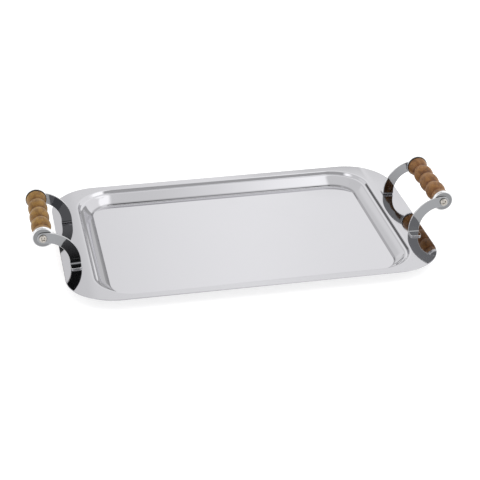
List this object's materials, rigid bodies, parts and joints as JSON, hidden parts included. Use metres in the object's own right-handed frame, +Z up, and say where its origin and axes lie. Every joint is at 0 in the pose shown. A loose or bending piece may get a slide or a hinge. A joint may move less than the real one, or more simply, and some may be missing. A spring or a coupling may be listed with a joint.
{
  "type": "serving tray",
  "caption": "Shallow rectangular serving tray of polished sheet steel, with a stepped well, wide end lands and a turned wooden grip on curved brackets at each end.",
  "frame": {"origin": "middle of the flat underside, on the surface that the tray stands on", "axes": "+X along the tray from handle to handle, +Y across the tray, +Z up out of the well"},
  "size_m": [0.5524, 0.32, 0.0707],
  "materials": {
    "polished_steel": "mirror polished",
    "bracket_steel": "mirror polished",
    "screw_steel": "bright",
    "dark_fibre": "matt",
    "turned_wood": "oiled and lightly polished"
  },
  "bodies": {
    "tray": {"tray_pan": "polished_steel", "left_front_bracket": "bracket_steel", "left_front_disc": "bracket_steel", "left_front_washer": "dark_fibre", "left_front_screw": "screw_steel", "left_rear_bracket": "bracket_steel", "left_rear_disc": "bracket_steel", "left_rear_washer": "dark_fibre", "left_rear_screw": "screw_steel", "left_tie_tube": "screw_steel", "right_front_bracket": "bracket_steel", "right_front_disc": "bracket_steel", "right_front_washer": "dark_fibre", "right_front_screw": "screw_steel", "right_rear_bracket": "bracket_steel", "right_rear_disc": "bracket_steel", "right_rear_washer": "dark_fibre", "right_rear_screw": "screw_steel", "right_tie_tube": "screw_steel"},
    "left_grip": {"left_grip": "turned_wood"},
    "right_grip": {"right_grip": "turned_wood"}
  },
  "joints": [
    {"name": "left_grip_turn", "type": "hinge", "parent": "tray", "child": "left_grip", "pos_m": [-0.26192, 0, 0.05647], "axis": [0, 1, 0], "continuous": true},
    {"name": "right_grip_turn", "type": "hinge", "parent": "tray", "child": "right_grip", "pos_m": [0.26192, 0, 0.05647], "axis": [0, 1, 0], "continuous": true}
  ]
}
